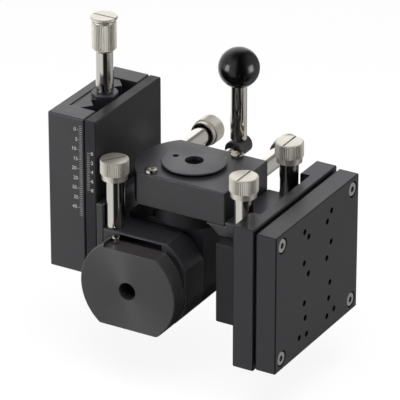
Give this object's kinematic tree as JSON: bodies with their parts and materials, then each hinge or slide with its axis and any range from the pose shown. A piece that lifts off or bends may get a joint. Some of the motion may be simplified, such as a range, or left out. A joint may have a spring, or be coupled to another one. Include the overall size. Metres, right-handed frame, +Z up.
{
  "type": "camera positioning stage",
  "caption": "Camera positioning stage: a vertical slide carries pitch, yaw and roll pivots with fine screw adjusters, a clamp lever and a drilled camera plate.",
  "frame": {"origin": "middle of the rear mounting face of the vertical stage", "axes": "+X from the mounting face towards the camera plate, +Z up along the travel, +Y towards the level adjusters"},
  "size_m": [0.1275, 0.096, 0.1417],
  "materials": {
    "black_anodised": "black anodised, satin",
    "black_anodised_plate": "black anodised, satin",
    "bright_nickel": "bright nickel plate",
    "knurled_nickel": "nickel plate over fine knurl",
    "rail_steel": "ground",
    "brass": "turned",
    "black_screw": "black oxide",
    "black_ball": "glossy"
  },
  "bodies": {
    "z_body": {"stage_body": "black_anodised", "end_block": "black_anodised", "body_rails": "rail_steel"},
    "z_slider": {"slider_plate": "black_anodised", "slider_rails": "rail_steel", "feed_nut": "brass", "bracket": "black_anodised", "pitch_block": "black_anodised", "pitch_bushing": "bright_nickel"},
    "feed_screw": {"feed_screw": "bright_nickel", "feed_knob": "knurled_nickel"},
    "pitch_stage": {"pitch_flange": "black_anodised", "pitch_shaft": "rail_steel", "pitch_pin": "bright_nickel", "pitch_carrier": "black_anodised", "yaw_base": "black_anodised", "yaw_shaft": "rail_steel", "yaw_cap": "black_anodised"},
    "yaw_stage": {"yaw_block": "black_anodised", "yaw_bushings": "bright_nickel", "clamp_screws": "bright_nickel", "clamp_stud": "bright_nickel", "arm": "black_anodised", "roll_block": "black_anodised", "roll_bushings": "bright_nickel"},
    "roll_stage": {"roll_shaft": "rail_steel", "roll_flange": "black_anodised", "back_plate": "black_anodised_plate", "shim_plate": "black_anodised", "camera_plate": "black_anodised_plate", "plate_screws": "black_screw"},
    "clamp_lever": {"lever_hub": "black_anodised", "lever_rod": "bright_nickel", "lever_ball": "black_ball"},
    "pitch_follower": {"pitch_tip": "bright_nickel"},
    "pitch_knob": {"pitch_head": "knurled_nickel", "pitch_spindle": "bright_nickel"},
    "yaw_a_follower": {"yaw_tip_a": "bright_nickel"},
    "yaw_a_knob": {"yaw_head_a": "knurled_nickel", "yaw_spindle_a": "bright_nickel"},
    "yaw_b_follower": {"yaw_tip_b": "bright_nickel"},
    "yaw_b_knob": {"yaw_head_b": "knurled_nickel", "yaw_spindle_b": "bright_nickel"},
    "roll_a_follower": {"roll_tip_a": "bright_nickel"},
    "roll_a_knob": {"roll_head_a": "knurled_nickel", "roll_spindle_a": "bright_nickel"},
    "roll_b_follower": {"roll_tip_b": "bright_nickel"},
    "roll_b_knob": {"roll_head_b": "knurled_nickel", "roll_spindle_b": "bright_nickel"}
  },
  "joints": [
    {"name": "z_travel", "type": "slide", "parent": "z_body", "child": "z_slider", "axis": [0, 0, 1], "range_m": [-0.02, 0.02]},
    {"name": "z_knob_turn", "type": "hinge", "parent": "z_body", "child": "feed_screw", "pos_m": [0.013, 0, 0.05], "axis": [0, 0, 1], "range_deg": [-3600, 3600]},
    {"name": "pitch", "type": "hinge", "parent": "z_slider", "child": "pitch_stage", "pos_m": [0.049, 0, -0.037], "axis": [0, 1, 0], "range_deg": [-3, 3]},
    {"name": "yaw", "type": "hinge", "parent": "pitch_stage", "child": "yaw_stage", "pos_m": [0.0615, 0, 0.0066], "axis": [0, 0, 1], "range_deg": [-5, 5]},
    {"name": "roll", "type": "hinge", "parent": "yaw_stage", "child": "roll_stage", "pos_m": [0.105, 0, -0.0255], "axis": [1, 0, 0], "range_deg": [-5, 5]},
    {"name": "clamp_lever_turn", "type": "hinge", "parent": "yaw_stage", "child": "clamp_lever", "pos_m": [0.0615, 0.0423, 0.0068], "axis": [0, 1, 0], "range_deg": [-45, 45]},
    {"name": "pitch_screw_travel", "type": "slide", "parent": "z_slider", "child": "pitch_follower", "axis": [0, 0, 1], "range_m": [-0.00083, 0.00083]},
    {"name": "pitch_knob_turn", "type": "hinge", "parent": "pitch_follower", "child": "pitch_knob", "pos_m": [0.0332, -0.025, 0], "axis": [0, 0, 1], "range_deg": [-596.8, 596.8]},
    {"name": "yaw_a_screw_travel", "type": "slide", "parent": "yaw_stage", "child": "yaw_a_follower", "axis": [0, 1, 0], "range_m": [-0.00189, 0.00189]},
    {"name": "yaw_a_knob_turn", "type": "hinge", "parent": "yaw_a_follower", "child": "yaw_a_knob", "pos_m": [0.0399, 0.04, 0.0068], "axis": [0, 1, 0], "range_deg": [-1359.9, 1359.9]},
    {"name": "yaw_b_screw_travel", "type": "slide", "parent": "yaw_stage", "child": "yaw_b_follower", "axis": [0, 1, 0], "range_m": [-0.00189, 0.00189]},
    {"name": "yaw_b_knob_turn", "type": "hinge", "parent": "yaw_b_follower", "child": "yaw_b_knob", "pos_m": [0.0831, 0.04, 0.0068], "axis": [0, 1, 0], "range_deg": [-1359.9, 1359.9]},
    {"name": "roll_a_screw_travel", "type": "slide", "parent": "yaw_stage", "child": "roll_a_follower", "axis": [0, 0, 1], "range_m": [-0.00189, 0.00189]},
    {"name": "roll_a_knob_turn", "type": "hinge", "parent": "roll_a_follower", "child": "roll_a_knob", "pos_m": [0.1002, -0.0216, 0], "axis": [0, 0, 1], "range_deg": [-1359.9, 1359.9]},
    {"name": "roll_b_screw_travel", "type": "slide", "parent": "yaw_stage", "child": "roll_b_follower", "axis": [0, 0, 1], "range_m": [-0.00189, 0.00189]},
    {"name": "roll_b_knob_turn", "type": "hinge", "parent": "roll_b_follower", "child": "roll_b_knob", "pos_m": [0.1002, 0.0216, 0], "axis": [0, 0, 1], "range_deg": [-1359.9, 1359.9]}
  ],
  "couplings": [
    {"joint": "z_knob_turn", "follows": "z_travel", "rad_per_m": 3141.6},
    {"joint": "pitch_screw_travel", "follows": "pitch", "m_per_rad": 0.0158},
    {"joint": "pitch_knob_turn", "follows": "pitch", "ratio": 198.55},
    {"joint": "yaw_a_screw_travel", "follows": "yaw", "m_per_rad": 0.0216},
    {"joint": "yaw_a_knob_turn", "follows": "yaw", "ratio": 271.43},
    {"joint": "yaw_b_screw_travel", "follows": "yaw", "m_per_rad": -0.0216},
    {"joint": "yaw_b_knob_turn", "follows": "yaw", "ratio": -271.43},
    {"joint": "roll_a_screw_travel", "follows": "roll", "m_per_rad": -0.0216},
    {"joint": "roll_a_knob_turn", "follows": "roll", "ratio": -271.43},
    {"joint": "roll_b_screw_travel", "follows": "roll", "m_per_rad": 0.0216},
    {"joint": "roll_b_knob_turn", "follows": "roll", "ratio": 271.43}
  ]
}
